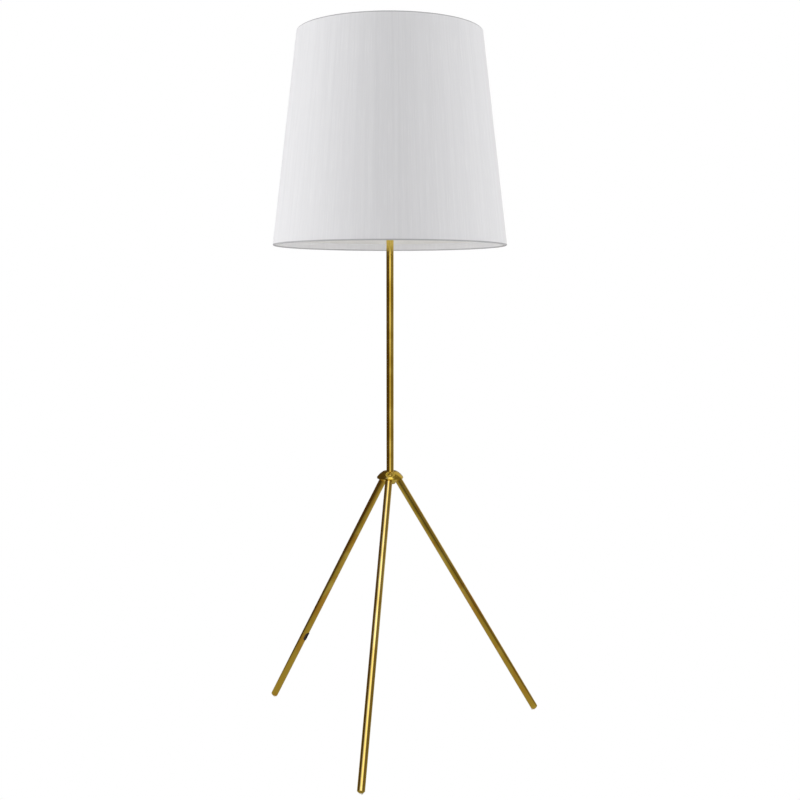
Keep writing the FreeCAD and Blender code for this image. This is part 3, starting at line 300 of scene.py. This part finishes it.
def moulded(name, tint, other, rough, grain_size, height, **plain):
    """Plastic, rubber, paper or enamel: two close tints in clouds, over a fine grain."""
    material, tree, shader = new_material(name, **plain)
    vector = object_place(tree)
    grain = use_group(tree, GRAIN, {"Vector": vector, "Size": grain_size}).outputs
    share = remap(tree, grain["Cloud"], 0.35, 0.65, smooth=True)
    feed(tree, shader.inputs["Base Color"], blend_colour(tree, share, tint, other))
    uneven = remap(tree, grain["Height"], 0.3, 0.7, rough - 0.07, rough + 0.07)
    feed(tree, shader.inputs["Roughness"], uneven)
    raise_surface(tree, shader, grain["Height"], height, 0.6)
    return material


CLOTH_MAP = "cloth"
SILK = colour(0.835, 0.832, 0.845)
SILK_SLUB = colour(0.885, 0.882, 0.892)
SILK_SHADOW = colour(0.785, 0.782, 0.797)
# Painted shade: the dark tone and widths of the line along each hem fold, where the cloth turns under
# its wire.
SILK_FOLD_SHADE = colour(0.44, 0.435, 0.45)
WARP_SCALE = 400.0
WEFT_SCALE = 260.0
FOLD_SHADE_FULL = 2.6 * MM
FOLD_SHADE_GONE = 4.2 * MM


def silk(name, folds):
    """Off-white slubbed silk. U runs round the shade and V up it, both in metres.

    Painted shade makes it darker along each fold, at each V in folds, where the hem turns under its
    wire.
    """
    material, tree, shader = new_material(
        name, Specular_IOR_Level=0.25, Sheen_Weight=0.03, Sheen_Roughness=0.35)
    shader.inputs["Sheen Tint"].default_value = colour(1.0, 0.98, 0.96)
    place = add(tree, "UVMap", uv_map=CLOTH_MAP).outputs[0]

    def streak(per_metre, length, detail=2.0):
        spread = (per_metre, 1 / length, 1.0)
        lined = add(tree, "VectorMath", {0: place, 1: spread}, operation="MULTIPLY").outputs[0]
        return noise(tree, lined, 1.0, detail, 0.6)

    slubs = remap(tree, streak(420.0, 0.075), 0.52, 0.70, smooth=True)
    bars = streak(130.0, 0.60, 3.0)
    fine = streak(1100.0, 0.030)
    lit = blend_colour(tree, remap(tree, bars, 0.30, 0.70), SILK_SHADOW, SILK)
    raised = blend_colour(tree, sums(tree, "MULTIPLY", slubs, 0.45), lit, SILK_SLUB)
    threads = blend_colour(tree, remap(tree, fine, 0.40, 0.60, 0.0, 0.30), raised, SILK_SHADOW)
    up = add(tree, "SeparateXYZ", {0: place}).outputs["Y"]
    away = [sums(tree, "ABSOLUTE", sums(tree, "SUBTRACT", up, fold)) for fold in folds]
    nearest = sums(tree, "MINIMUM", *away)
    # Painted shade: a dark line along each hem fold, full near the fold and gone a few millimetres
    # away.
    fold_shade = remap(tree, nearest, FOLD_SHADE_FULL, FOLD_SHADE_GONE, 1.0, 0.0, smooth=True)
    feed(tree, shader.inputs["Base Color"], blend_colour(tree, fold_shade, threads, SILK_FOLD_SHADE))
    feed(tree, shader.inputs["Roughness"], remap(tree, slubs, 0.0, 1.0, 0.78, 0.55))
    warp, weft = [
        add(tree, "TexWave", {"Vector": place, "Scale": scale, "Distortion": 1.2, "Detail": 2.0,
                              "Detail Scale": 0.02},
            wave_type="BANDS", bands_direction=direction).outputs["Fac"]
        for scale, direction in ((WARP_SCALE, "X"), (WEFT_SCALE, "Y"))
    ]
    cloth = sums(tree, "ADD", sums(tree, "MULTIPLY", warp, 0.35), sums(tree, "MULTIPLY", weft, 0.20))
    relief = sums(tree, "ADD", cloth, sums(tree, "ADD", slubs, sums(tree, "MULTIPLY", fine, 0.6)))
    raise_surface(tree, shader, relief, 0.00012, 0.55)
    return material


def paint(material, *nodes):
    for name in nodes:
        mesh = NODES[name].data
        mesh.materials.clear()
        mesh.materials.append(material)


def paint_brass():
    """The stand's aged brass: each leg's pattern runs along that leg."""
    for side, cover in (("front", 0.18), ("right", 0.62), ("left", 0.70)):
        foot = middle(f"foot_cap_{side}")
        along = middle(f"leg_bush_{side}") - foot
        turn = along.to_track_quat("Z", "Y").inverted().to_euler("XYZ")
        material = aged_brass(f"aged_brass_{side}_leg", foot, turn, cover, patch=0.045)
        paint(material, f"leg_tube_{side}", f"foot_cap_{side}")
    paint(aged_brass("aged_brass_stem", AXIS, cover=0.30), "stem_tube")
    hub = aged_brass("aged_brass_hub", AXIS, cover=0.35, patch=0.018, ground=BRASS_YELLOW, turned=True)
    paint(hub, "hub", "hub_cap", "check_ring")
    fittings = clean_brass("brass_fittings", colour(0.66, 0.49, 0.17), 0.34, 1500.0, AXIS)
    for name in ("hub_lock_washer", "hub_lock_nut", "stem_foot_bush", "stem_head_bush",
                 "stem_foot_nipple", "stem_head_nipple"):
        paint(fittings, name)
    for side in ("front", "right", "left"):
        paint(fittings, f"leg_bush_{side}", f"leg_nipple_{side}")
    polished = clean_brass("polished_brass", colour(0.78, 0.60, 0.22), 0.20, 2200.0, AXIS)
    paint(polished, "finial", "finial_washer", "socket_cap", "socket_shell", "harp_sleeve_left",
          "harp_sleeve_right", "harp_stud")
    wire = clean_brass("harp_brass", colour(0.70, 0.53, 0.20), 0.30, 3000.0, AXIS, turned=False)
    paint(wire, "harp_bow", "harp_saddle")
    contacts = clean_brass("contact_brass", colour(0.74, 0.58, 0.24), 0.26, 1800.0, AXIS)
    paint(contacts, "screw_shell", "centre_contact")


def paint_the_rest():
    """Everything on the frame that isn't brass or silk."""
    steel = clean_brass("screw_steel", colour(0.55, 0.55, 0.53), 0.32, 2500.0, AXIS)
    paint(steel, "terminal_screws", "switch_shaft")
    paint(clean_brass("bulb_cap_metal", colour(0.72, 0.72, 0.71), 0.30, 1500.0, AXIS), "bulb_cap")
    paint(clean_brass("bulb_solder", colour(0.62, 0.62, 0.60), 0.42, 900.0, AXIS), "bulb_contact")
    paint(moulded("grommet_rubber", colour(0.020, 0.012, 0.012), colour(0.034, 0.018, 0.016),
                  0.62, 0.0004, 0.00003), "cord_grommet")
    paint(moulded("phenolic", colour(0.045, 0.020, 0.012), colour(0.070, 0.030, 0.018),
                  0.36, 0.0006, 0.00003), "socket_body")
    paint(moulded("switch_plastic", colour(0.012, 0.012, 0.013), colour(0.020, 0.020, 0.021),
                  0.30, 0.0005, 0.00003), "switch_knob")
    paint(moulded("insulating_paper", colour(0.30, 0.19, 0.10), colour(0.38, 0.26, 0.15),
                  0.80, 0.0008, 0.00005), "socket_insulator")
    paint(moulded("bulb_black_glass", colour(0.010, 0.010, 0.013), colour(0.018, 0.016, 0.022),
                  0.16, 0.0008, 0.00003), "bulb_insulator")
    paint(moulded("ring_enamel", colour(0.78, 0.77, 0.74), colour(0.84, 0.83, 0.80),
                  0.34, 0.0007, 0.00004, Coat_Weight=0.3), "shade_top_ring", "shade_bottom_ring")
    paint(moulded("spider_enamel", colour(0.76, 0.75, 0.72), colour(0.83, 0.82, 0.79),
                  0.32, 0.0007, 0.00004, Coat_Weight=0.3), "shade_spider")
    paint(moulded("liner_film", colour(0.80, 0.79, 0.77), colour(0.84, 0.83, 0.81),
                  0.48, 0.0009, 0.00003), "shade_liner")
    pads = moulded("clear_pad", colour(0.97, 0.97, 0.96), colour(0.94, 0.94, 0.93),
                   0.16, 0.0006, 0.00001, Transmission_Weight=1.0, IOR=1.35)
    paint(pads, *[f"foot_pad_{side}" for side in ("front", "right", "left")])
    bulb = moulded("frosted_glass", colour(0.93, 0.93, 0.92), colour(0.88, 0.88, 0.87),
                   0.34, 0.0003, 0.00003, Transmission_Weight=0.35, IOR=1.50)
    paint(bulb, "bulb_glass")


# ---------------------------------------------------------------- modelling helpers

def deselect_all():
    bpy.ops.object.select_all(action="DESELECT")


def active_mesh(name):
    """Name the new primitive and its mesh."""
    piece = bpy.context.object
    piece.name = name
    piece.data.name = name
    return piece


def draw_up(profile, segments, name):
    """A shell round the lamp's axis: a circle extruded through (radius, height) points."""
    deselect_all()
    radius, height = profile[0]
    place = (AXIS.x, AXIS.y, height)
    bpy.ops.mesh.primitive_circle_add(vertices=segments, radius=radius, location=place)
    piece = active_mesh(name)
    bpy.ops.object.mode_set(mode="EDIT")
    bpy.ops.mesh.select_all(action="SELECT")
    for (old_radius, old_height), (radius, height) in zip(profile, profile[1:]):
        rise = (0, 0, height - old_height)
        bpy.ops.mesh.extrude_edges_move(TRANSFORM_OT_translate={"value": rise})
        share = radius / old_radius
        centre = (AXIS.x, AXIS.y, height)
        bpy.ops.transform.resize(value=(share, share, 1), center_override=centre)
    bpy.ops.object.mode_set(mode="OBJECT")
    return piece


def settle(piece):
    """Put the piece's place into its mesh."""
    deselect_all()
    piece.select_set(True)
    bpy.context.view_layer.objects.active = piece
    bpy.ops.object.transform_apply(location=True, rotation=True, scale=True)
    return piece


def apply_modifiers(piece):
    bpy.context.view_layer.objects.active = piece
    for modifier in list(piece.modifiers):
        bpy.ops.object.modifier_apply(modifier=modifier.name)


# ---------------------------------------------------------------- shade cloth

CLOTH_THICKNESS = 0.6 * MM
LAP_WIDTH = 12 * MM
LAP_GAP = 0.02 * MM
WIRE_RADIUS = 1.75 * MM
FOLD_GAP = 0.05 * MM
FOLD_LENGTH = 14 * MM
FOLD_STEPS = 10
WALL_STEPS = 22
ROUND_STEPS = 360
HEM_POINTS = 3
SPOKE_AZIMUTHS = (90, 210, 330)
SPOKE_HALF_NOTCH = 1.0
LINER_THICKNESS = 0.7 * MM


def wire_circle(node):
    """The radius of a wire ring's middle line."""
    low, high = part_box(node)
    return (high.x - low.x) / 2 - WIRE_RADIUS


def shade_profile():
    """The sheet's middle line, from the inside of the bottom hem to the inside of the top one."""
    low_ring, high_ring = middle("shade_bottom_ring").z, middle("shade_top_ring").z
    low_radius, high_radius = wire_circle("shade_bottom_ring"), wire_circle("shade_top_ring")
    slope = math.atan2(low_radius - high_radius, high_ring - low_ring)
    reach = WIRE_RADIUS + FOLD_GAP + CLOTH_THICKNESS / 2
    inset = LINER_THICKNESS + CLOTH_THICKNESS

    def wall(level, depth):
        share = (level - low_ring) / (high_ring - low_ring)
        radius = low_radius + (high_radius - low_radius) * share
        return (radius + (reach - depth) / math.cos(slope), level)

    def round_ring(radius, level, first, last):
        for step in range(FOLD_STEPS + 1):
            angle = first + (last - first) * step / FOLD_STEPS
            yield (radius + reach * math.cos(angle), level + reach * math.sin(angle))

    bottom = [wall(low_ring + FOLD_LENGTH * share, inset) for share in (1.0, 0.75, 0.5)]
    top = [wall(high_ring - FOLD_LENGTH * share, inset) for share in (0.5, 0.75, 1.0)]
    first_arc = list(round_ring(low_radius, low_ring, -math.pi, slope))
    last_arc = list(round_ring(high_radius, high_ring, slope, math.pi))
    foot, head = first_arc[-1], last_arc[0]
    rows = [
        tuple(a + (b - a) * step / WALL_STEPS for a, b in zip(foot, head))
        for step in range(1, WALL_STEPS)
    ]
    return bottom + first_arc + rows + last_arc + top


def measure_run(profile):
    """The length of the profile up to each of its points."""
    run = [0.0]
    for (r0, z0), (r1, z1) in zip(profile, profile[1:]):
        run.append(run[-1] + math.hypot(r1 - r0, z1 - z0))
    return run


def lay_map(piece, profile, start=0.0):
    """The cloth's own UV map in metres: round the shade, and along the sheet from hem to hem."""
    run = [start + length for length in measure_run(profile)]
    mean_radius = sum(r for r, z in profile) / len(profile)
    layer = piece.data.uv_layers.new(name=CLOTH_MAP)
    columns = ROUND_STEPS
    for polygon in piece.data.polygons:
        turns = [(index % columns) / columns for index in polygon.vertices]
        wraps = max(turns) - min(turns) > 0.5
        for loop, vertex, turn in zip(polygon.loop_indices, polygon.vertices, turns):
            if wraps and turn < 0.5:
                turn += 1
            layer.data[loop].uv = (turn * 2 * math.pi * mean_radius, run[vertex // columns])


def notch_for_spokes(piece, profile):
    """Cut the top hem's inner leg where the three spokes come through it."""
    mesh = bmesh.new()
    mesh.from_mesh(piece.data)
    radius, level = profile[-HEM_POINTS - 1]
    cut = []
    for face in mesh.faces:
        centre = face.calc_center_median() - AXIS
        azimuth = math.degrees(math.atan2(centre.y, centre.x)) % 360
        near = any(abs(azimuth - spoke) < SPOKE_HALF_NOTCH for spoke in SPOKE_AZIMUTHS)
        inside = centre.xy.length < radius + WIRE_RADIUS
        if near and inside and level - FOLD_LENGTH < centre.z < level:
            cut.append(face)
    bmesh.ops.delete(mesh, geom=cut, context="FACES")
    mesh.to_mesh(piece.data)
    mesh.free()


def thicken(piece):
    """Give a sheet its thickness, half to each side, and smooth its faces."""
    wall = piece.modifiers.new("thickness", "SOLIDIFY")
    wall.thickness = CLOTH_THICKNESS
    wall.offset = 0
    apply_modifiers(piece)
    for polygon in piece.data.polygons:
        polygon.use_smooth = True


def make_seam(profile, run, material):
    """The lap that joins the sheet's two ends: a strip of silk down the back, between the folds."""
    first, end = HEM_POINTS + FOLD_STEPS, len(profile) - HEM_POINTS - FOLD_STEPS
    lift = CLOTH_THICKNESS + LAP_GAP
    outside = [(radius + lift, level) for radius, level in profile[first:end]]
    seam = draw_up(outside, ROUND_STEPS, "shade_seam")
    settle(seam)
    lay_map(seam, outside, run[first])
    right_edge = ((LAP_WIDTH / 2, 0, 0), (1, 0, 0))
    left_edge = ((-LAP_WIDTH / 2, 0, 0), (-1, 0, 0))
    front_half = (AXIS, (0, -1, 0))
    bpy.ops.object.mode_set(mode="EDIT")
    for edge, away in (right_edge, left_edge, front_half):
        bpy.ops.mesh.select_all(action="SELECT")
        bpy.ops.mesh.bisect(plane_co=edge, plane_no=away, clear_outer=True)
    bpy.ops.object.mode_set(mode="OBJECT")
    thicken(seam)
    seam.data.materials.append(material)
    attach(seam, "shade")
    return seam


def make_shade():
    """The silk as one sheet, turned over both wires, with its thickness."""
    profile = shade_profile()
    cloth = draw_up(profile, ROUND_STEPS, "shade_cloth")
    settle(cloth)
    lay_map(cloth, profile)
    notch_for_spokes(cloth, profile)
    thicken(cloth)
    levels = [level for radius, level in profile]
    run = measure_run(profile)
    folds = [run[levels.index(edge)] for edge in (min(levels), max(levels))]
    cloth.data.materials.append(silk("silk", folds))
    seam = make_seam(profile, run, cloth.data.materials[0])
    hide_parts("shade_fabric")
    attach(cloth, "shade")


# ---------------------------------------------------------------- studio

EYE_DISTANCE = 2.646
EYE_HEIGHT = 0.963
EYE_AZIMUTH = math.radians(9.07)
EYE_PITCH = math.radians(4.667)
EYE_PAN = 0.0083
VIEWER = Vector((math.sin(EYE_AZIMUTH), -math.cos(EYE_AZIMUTH), 0))
LENS = 54.02
SENSOR_WIDTH = 36.0
FLOOR_SIZE = 400
LIGHT_HEIGHT = 1.4
WHITE = colour(1.0, 1.0, 1.0)


def make_floor():
    """Plain pale floor, evenly white to the eye.

    Brass sees it dimmer, most of all towards the front and the sides. Beyond about
    2 m brass sees through it, to the room below the horizon.
    """
    deselect_all()
    bpy.ops.mesh.primitive_plane_add(size=FLOOR_SIZE, location=(0, 0, 0))
    floor = active_mesh("floor")
    material = bpy.data.materials.new("floor_paper")
    material.use_nodes = True
    tree = material.node_tree
    tree.nodes.clear()
    path = add(tree, "LightPath").outputs
    place = add(tree, "SeparateXYZ", {0: add(tree, "TexCoord").outputs["Object"]}).outputs
    nearness = remap(tree, place["Y"], -1.2, 0.25, 0.07, 0.44, smooth=True)
    sides = remap(tree, sums(tree, "ABSOLUTE", place["X"]), 0.35, 1.6, 1.0, 0.15, smooth=True)
    shine = sums(tree, "MULTIPLY", nearness, sides)
    squares = [sums(tree, "MULTIPLY", place[axis], place[axis]) for axis in "XY"]
    reach = sums(tree, "SQRT", sums(tree, "ADD", *squares))
    distant = remap(tree, reach, 1.6, 2.4, smooth=True)
    paper = add(tree, "BsdfDiffuse", {"Color": colour(0.86, 0.86, 0.86)})
    white = add(tree, "Emission", {"Color": WHITE, "Strength": 1.0})
    dim = add(tree, "Emission", {"Color": colour(1.0, 0.96, 0.68), "Strength": shine})
    clear = add(tree, "BsdfTransparent")
    mirrored = add(tree, "MixShader", {0: distant, 1: dim.outputs[0], 2: clear.outputs[0]})
    glossy = path["Is Glossy Ray"]
    lit = add(tree, "MixShader", {0: glossy, 1: paper.outputs[0], 2: mirrored.outputs[0]})
    seen = sums(tree, "MAXIMUM", path["Is Camera Ray"], path["Is Transmission Ray"])
    shown = add(tree, "MixShader", {0: seen, 1: lit.outputs[0], 2: white.outputs[0]})
    out = add(tree, "OutputMaterial")
    feed(tree, out.inputs["Surface"], shown.outputs[0])
    floor.data.materials.append(material)


def mirrored_room(tree):
    """How strong the room's lights are as brass mirrors them.

    The first result is the level lights: a window behind the viewer, a light behind
    the lamp and a dim one on the right. The second is the high window in front.
    """
    way = add(tree, "TexCoord").outputs["Generated"]
    parts = add(tree, "SeparateXYZ", {0: way}).outputs
    level = add(tree, "VectorMath", {0: way, 1: (1, 1, 0)}, operation="MULTIPLY").outputs[0]
    level = add(tree, "VectorMath", {0: level}, operation="NORMALIZE").outputs[0]

    def facing(azimuth, low, high):
        towards = (math.sin(azimuth), -math.cos(azimuth), 0)
        turned = add(tree, "VectorMath", {0: level, 1: towards}, operation="DOT_PRODUCT")
        return remap(tree, turned.outputs["Value"], low, high, smooth=True)

    height = parts["Z"]
    lit_top = remap(tree, height, -0.045, 0.030, 0.0, 0.62, smooth=True)
    lit_foot = remap(tree, height, -0.13, -0.06, 0.34, 0.0, smooth=True)
    low_part = sums(tree, "ADD", sums(tree, "ADD", lit_top, lit_foot), 0.42)
    before_eye = facing(EYE_AZIMUTH + math.radians(3), 0.86, 0.96)
    low_window = sums(tree, "MULTIPLY", before_eye, low_part)
    rise = remap(tree, height, 0.35, 0.60, smooth=True)
    fall = remap(tree, height, 0.69, 0.77, 1.0, 0.58, smooth=True)
    high_part = sums(tree, "MULTIPLY", sums(tree, "MULTIPLY", rise, fall), 0.88)
    high_window = sums(tree, "MULTIPLY", facing(math.radians(3), 0.55, 0.84), high_part)
    back_light = sums(tree, "MULTIPLY", facing(math.radians(155), 0.80, 0.98), 0.45)
    right_part = remap(tree, height, -0.30, -0.15, 0.01, 0.12, smooth=True)
    right_light = sums(tree, "MULTIPLY", facing(math.radians(85), 0.10, 0.75), right_part)
    sides = sums(tree, "ADD", back_light, right_light)
    return sums(tree, "ADD", low_window, sides), high_window


def make_world():
    """White to the eye, softer on the cloth, and a shaped room in what the brass mirrors.

    The mirrored room has warm lamps, a blue daylight window and brown walls.
    """
    world = bpy.data.worlds.new("studio")
    SCENE.world = world
    world.use_nodes = True
    tree = world.node_tree
    tree.nodes.clear()
    out = add(tree, "OutputWorld")
    path = add(tree, "LightPath").outputs
    seen = sums(tree, "MAXIMUM", path["Is Camera Ray"], path["Is Transmission Ray"])
    room = add(tree, "Background", {"Color": WHITE, "Strength": 0.465})
    level_light, high_light = mirrored_room(tree)
    warm, blue, brown = colour(1.0, 0.99, 0.86), colour(0.92, 1.08, 2.70), colour(0.095, 0.068, 0.045)
    lamps = add(tree, "Background", {"Color": warm, "Strength": level_light})
    daylight = add(tree, "Background", {"Color": blue, "Strength": high_light})
    walls = add(tree, "Background", {"Color": brown, "Strength": 1.0})
    lights = add(tree, "AddShader", {0: lamps.outputs[0], 1: daylight.outputs[0]})
    mirrored = add(tree, "AddShader", {0: lights.outputs[0], 1: walls.outputs[0]})
    white = add(tree, "Background", {"Color": WHITE, "Strength": 1.0})
    glossy = path["Is Glossy Ray"]
    lit = add(tree, "MixShader", {0: glossy, 1: room.outputs[0], 2: mirrored.outputs[0]})
    shown = add(tree, "MixShader", {0: seen, 1: lit.outputs[0], 2: white.outputs[0]})
    feed(tree, out.inputs["Surface"], shown.outputs[0])


def soft_box(name, azimuth, distance, width, height, power):
    """An upright soft light that shines on the shade's cloth and isn't mirrored in the brass."""
    lamp = bpy.data.lights.new(name, "AREA")
    lamp.shape = "RECTANGLE"
    lamp.size, lamp.size_y = width, height
    lamp.energy = power
    holder = bpy.data.objects.new(name, lamp)
    SCENE.collection.objects.link(holder)
    outward = Vector((math.sin(azimuth), -math.cos(azimuth), 0))
    holder.location = AXIS + distance * outward + Vector((0, 0, LIGHT_HEIGHT))
    holder.rotation_euler = outward.to_track_quat("Z", "Y").to_euler()
    holder.visible_glossy = False
    holder.visible_camera = False


def make_lights():
    soft_box("left_bank", math.radians(-76), 3.2, 1.2, 2.6, 34)
    soft_box("right_bank", math.radians(98), 3.2, 1.2, 2.6, 24)
    sky = bpy.data.lights.new("overhead", "SUN")
    sky.energy = 1.5
    sky.angle = math.radians(60)
    sky.use_shadow = False
    holder = bpy.data.objects.new("overhead", sky)
    SCENE.collection.objects.link(holder)
    holder.visible_glossy = False


def make_camera():
    """The eye stands 2.65 m from the stem, a little to the right of the front leg."""
    camera = bpy.data.cameras.new("camera")
    camera.lens = LENS
    camera.sensor_width = SENSOR_WIDTH
    holder = bpy.data.objects.new("camera", camera)
    SCENE.collection.objects.link(holder)
    holder.location = AXIS + EYE_DISTANCE * VIEWER + Vector((0, 0, EYE_HEIGHT))
    holder.rotation_euler = (math.pi / 2 - EYE_PITCH, 0, EYE_AZIMUTH - EYE_PAN)
    SCENE.camera = holder


SCENE.view_settings.view_transform = "Standard"
make_camera()
make_world()
make_lights()
make_floor()
paint_brass()
paint_the_rest()
make_shade()
